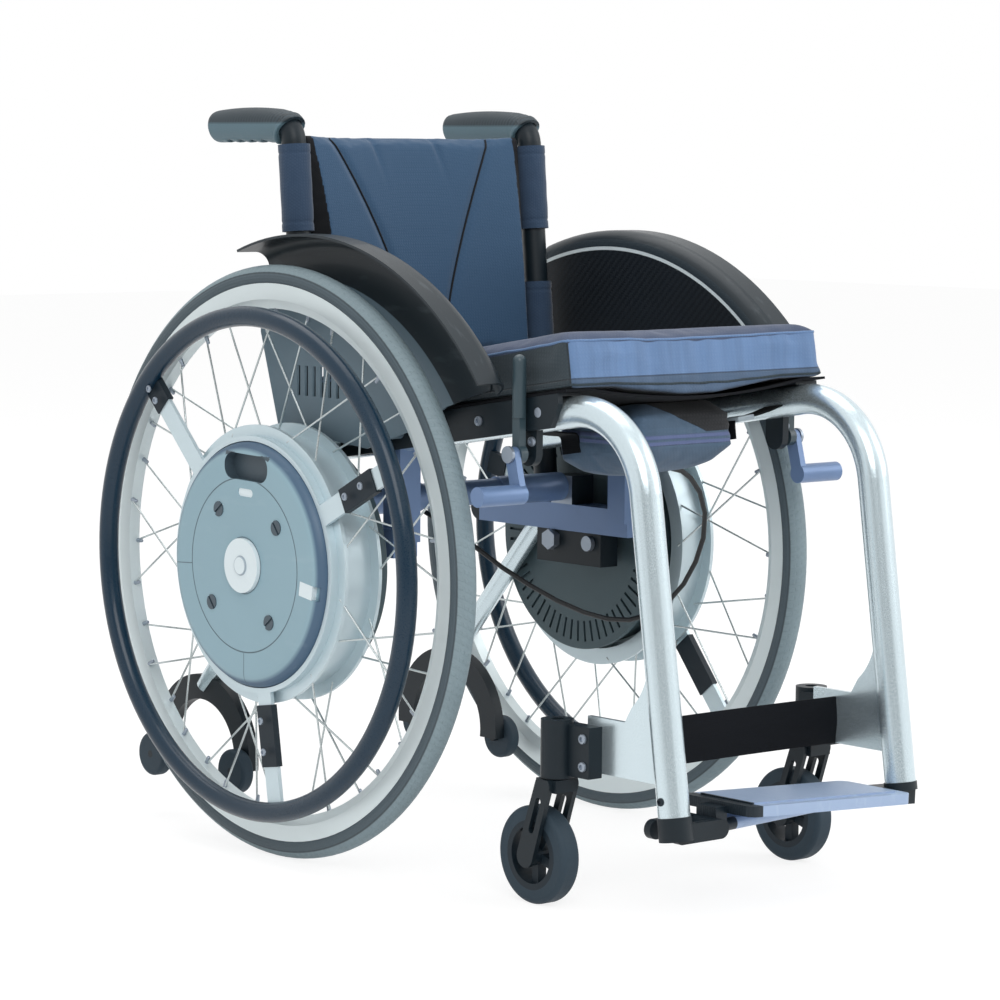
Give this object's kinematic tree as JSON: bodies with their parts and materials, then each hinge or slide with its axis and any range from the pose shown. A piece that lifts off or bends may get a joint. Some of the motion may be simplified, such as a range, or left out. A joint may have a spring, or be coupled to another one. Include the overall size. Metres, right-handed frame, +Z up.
{
  "type": "power assist wheelchair",
  "caption": "Active wheelchair with two hub-motor power assist wheels, round battery cases on the hubs, dark push rims, slung seat, flip-up footplate and anti-tippers",
  "frame": {"origin": "on the floor, in the middle of the chair's outline from above", "axes": "+Z up, the chair faces -Y, the occupant's left is +X"},
  "size_m": [0.539, 0.83, 0.7435],
  "materials": {
    "tyre_rubber": "matte grey-blue tyre rubber, ribbed tread",
    "silver_rim": "satin silver extruded rim",
    "spoke_steel": "bright drawn wire",
    "hub_alloy": "satin cast and turned alloy",
    "case_grey": "fine matte moulded grey-blue",
    "case_dark": "matte moulded dark grey",
    "white_plastic": "smooth moulded white",
    "push_coat": "smooth dark slate coating",
    "motor_dark": "dark anodised, finned",
    "black_alloy": "fine textured black powder coat",
    "black_plastic": "matte moulded black",
    "caster_rubber": "matte solid rubber",
    "silver_frame": "satin pale silver coat",
    "slate_paint": "satin slate-violet coat",
    "navy_cloth": "woven slate-navy upholstery with seams",
    "cushion_cloth": "knitted spacer cloth, piped edges",
    "grip_rubber": "ribbed matte grip rubber",
    "black_webbing": "tight black webbing weave",
    "guard_carbon": "twill carbon laminate under clear coat",
    "cable_jacket": "smooth black jacket"
  },
  "bodies": {
    "frame": {"motor_plate_right": "motor_dark", "motor_plate_left": "motor_dark", "caster_housings": "black_alloy", "caster_plates": "silver_frame", "brake_brackets": "black_alloy", "footplate_brackets": "black_alloy", "side_tube_right": "silver_frame", "side_tube_left": "silver_frame", "seat_rails": "black_alloy", "axle_beams": "slate_paint", "axle_tube": "slate_paint", "axle_blocks": "black_alloy", "back_posts": "black_alloy", "backrest": "navy_cloth", "post_sleeves": "navy_cloth", "push_grips": "grip_rubber", "seat_sling": "black_webbing", "seat_cushion": "cushion_cloth", "seat_pouch": "navy_cloth", "side_guards": "guard_carbon", "anti_tip_arms": "black_alloy", "calf_strap": "black_webbing", "control_cable": "cable_jacket"},
    "wheel_right": {"tyre_right": "tyre_rubber", "rim_right": "silver_rim", "spokes_right": "spoke_steel", "hub_shell_right": "hub_alloy", "battery_case_right": "case_grey", "battery_lid_right": "case_grey", "lid_screws_right": "case_dark"},
    "push_ring_right": {"push_rim_right": "push_coat", "rim_arms_right": "hub_alloy"},
    "axle_button_body_right": {"axle_button_right": "white_plastic"},
    "battery_latch_body_right": {"battery_latch_right": "white_plastic"},
    "fork_right": {"caster_fork_right": "black_alloy"},
    "caster_wheel_right": {"caster_core_right": "black_plastic", "caster_tyre_right": "caster_rubber"},
    "lever_right": {"brake_lever_right": "black_plastic"},
    "shoe_right": {"brake_shoe_right": "slate_paint"},
    "roller_right_front": {"anti_tip_roller_right_front": "caster_rubber"},
    "roller_right_rear": {"anti_tip_roller_right_rear": "caster_rubber"},
    "wheel_left": {"tyre_left": "tyre_rubber", "rim_left": "silver_rim", "spokes_left": "spoke_steel", "hub_shell_left": "hub_alloy", "battery_case_left": "case_grey", "battery_lid_left": "case_grey", "lid_screws_left": "case_dark"},
    "push_ring_left": {"push_rim_left": "push_coat", "rim_arms_left": "hub_alloy"},
    "axle_button_body_left": {"axle_button_left": "white_plastic"},
    "battery_latch_body_left": {"battery_latch_left": "white_plastic"},
    "fork_left": {"caster_fork_left": "black_alloy"},
    "caster_wheel_left": {"caster_core_left": "black_plastic", "caster_tyre_left": "caster_rubber"},
    "lever_left": {"brake_lever_left": "black_plastic"},
    "shoe_left": {"brake_shoe_left": "slate_paint"},
    "roller_left_front": {"anti_tip_roller_left_front": "caster_rubber"},
    "roller_left_rear": {"anti_tip_roller_left_rear": "caster_rubber"},
    "foot_flap": {"footplate": "slate_paint"}
  },
  "joints": [
    {"name": "wheel_turn_right", "type": "hinge", "parent": "frame", "child": "wheel_right", "pos_m": [-0.219, 0.12, 0.295], "axis": [1, 0, 0], "continuous": true},
    {"name": "push_rim_give_right", "type": "hinge", "parent": "wheel_right", "child": "push_ring_right", "pos_m": [-0.219, 0.12, 0.295], "axis": [1, 0, 0], "range_deg": [-4, 4], "stiffness_Nm_per_rad": 8},
    {"name": "axle_button_press_right", "type": "slide", "parent": "wheel_right", "child": "axle_button_body_right", "axis": [1, 0, 0], "range_m": [0, 0.004], "stiffness_N_per_m": 400},
    {"name": "battery_latch_slide_right", "type": "slide", "parent": "wheel_right", "child": "battery_latch_body_right", "axis": [0, -0.9877, -0.1564], "range_m": [0, 0.007]},
    {"name": "caster_swivel_right", "type": "hinge", "parent": "frame", "child": "fork_right", "pos_m": [-0.168, -0.239, 0.15], "axis": [0, 0, 1], "continuous": true},
    {"name": "caster_roll_right", "type": "hinge", "parent": "fork_right", "child": "caster_wheel_right", "pos_m": [-0.168, -0.215, 0.0466], "axis": [1, 0, 0], "continuous": true},
    {"name": "brake_lever_right_swing", "type": "hinge", "parent": "frame", "child": "lever_right", "pos_m": [-0.177, -0.192, 0.422], "axis": [1, 0, 0], "range_deg": [0, 70]},
    {"name": "brake_shoe_right_swing", "type": "hinge", "parent": "frame", "child": "shoe_right", "pos_m": [-0.1848, -0.192, 0.422], "axis": [1, 0, 0], "range_deg": [0, 52.1]},
    {"name": "anti_tip_right_front_roll", "type": "hinge", "parent": "frame", "child": "roller_right_front", "pos_m": [-0.181, 0.246, 0.064], "axis": [1, 0, 0], "continuous": true},
    {"name": "anti_tip_right_rear_roll", "type": "hinge", "parent": "frame", "child": "roller_right_rear", "pos_m": [-0.181, 0.388, 0.064], "axis": [1, 0, 0], "continuous": true},
    {"name": "wheel_turn_left", "type": "hinge", "parent": "frame", "child": "wheel_left", "pos_m": [0.219, 0.12, 0.295], "axis": [1, 0, 0], "continuous": true},
    {"name": "push_rim_give_left", "type": "hinge", "parent": "wheel_left", "child": "push_ring_left", "pos_m": [0.219, 0.12, 0.295], "axis": [1, 0, 0], "range_deg": [-4, 4], "stiffness_Nm_per_rad": 8},
    {"name": "axle_button_press_left", "type": "slide", "parent": "wheel_left", "child": "axle_button_body_left", "axis": [-1, 0, 0], "range_m": [0, 0.004], "stiffness_N_per_m": 400},
    {"name": "battery_latch_slide_left", "type": "slide", "parent": "wheel_left", "child": "battery_latch_body_left", "axis": [0, -0.9877, -0.1564], "range_m": [0, 0.007]},
    {"name": "caster_swivel_left", "type": "hinge", "parent": "frame", "child": "fork_left", "pos_m": [0.168, -0.239, 0.15], "axis": [0, 0, 1], "continuous": true},
    {"name": "caster_roll_left", "type": "hinge", "parent": "fork_left", "child": "caster_wheel_left", "pos_m": [0.168, -0.215, 0.0466], "axis": [1, 0, 0], "continuous": true},
    {"name": "brake_lever_left_swing", "type": "hinge", "parent": "frame", "child": "lever_left", "pos_m": [0.177, -0.192, 0.422], "axis": [1, 0, 0], "range_deg": [0, 70]},
    {"name": "brake_shoe_left_swing", "type": "hinge", "parent": "frame", "child": "shoe_left", "pos_m": [0.1848, -0.192, 0.422], "axis": [1, 0, 0], "range_deg": [0, 52.1]},
    {"name": "anti_tip_left_front_roll", "type": "hinge", "parent": "frame", "child": "roller_left_front", "pos_m": [0.181, 0.246, 0.064], "axis": [1, 0, 0], "continuous": true},
    {"name": "anti_tip_left_rear_roll", "type": "hinge", "parent": "frame", "child": "roller_left_rear", "pos_m": [0.181, 0.388, 0.064], "axis": [1, 0, 0], "continuous": true},
    {"name": "footplate_flip", "type": "hinge", "parent": "frame", "child": "foot_flap", "pos_m": [-0.1, -0.369, 0.088], "axis": [0, -1, 0], "range_deg": [0, 80]}
  ],
  "couplings": [
    {"joint": "brake_shoe_right_swing", "follows": "brake_lever_right_swing", "ratio": 0.74286},
    {"joint": "brake_shoe_left_swing", "follows": "brake_lever_left_swing", "ratio": 0.74286}
  ]
}
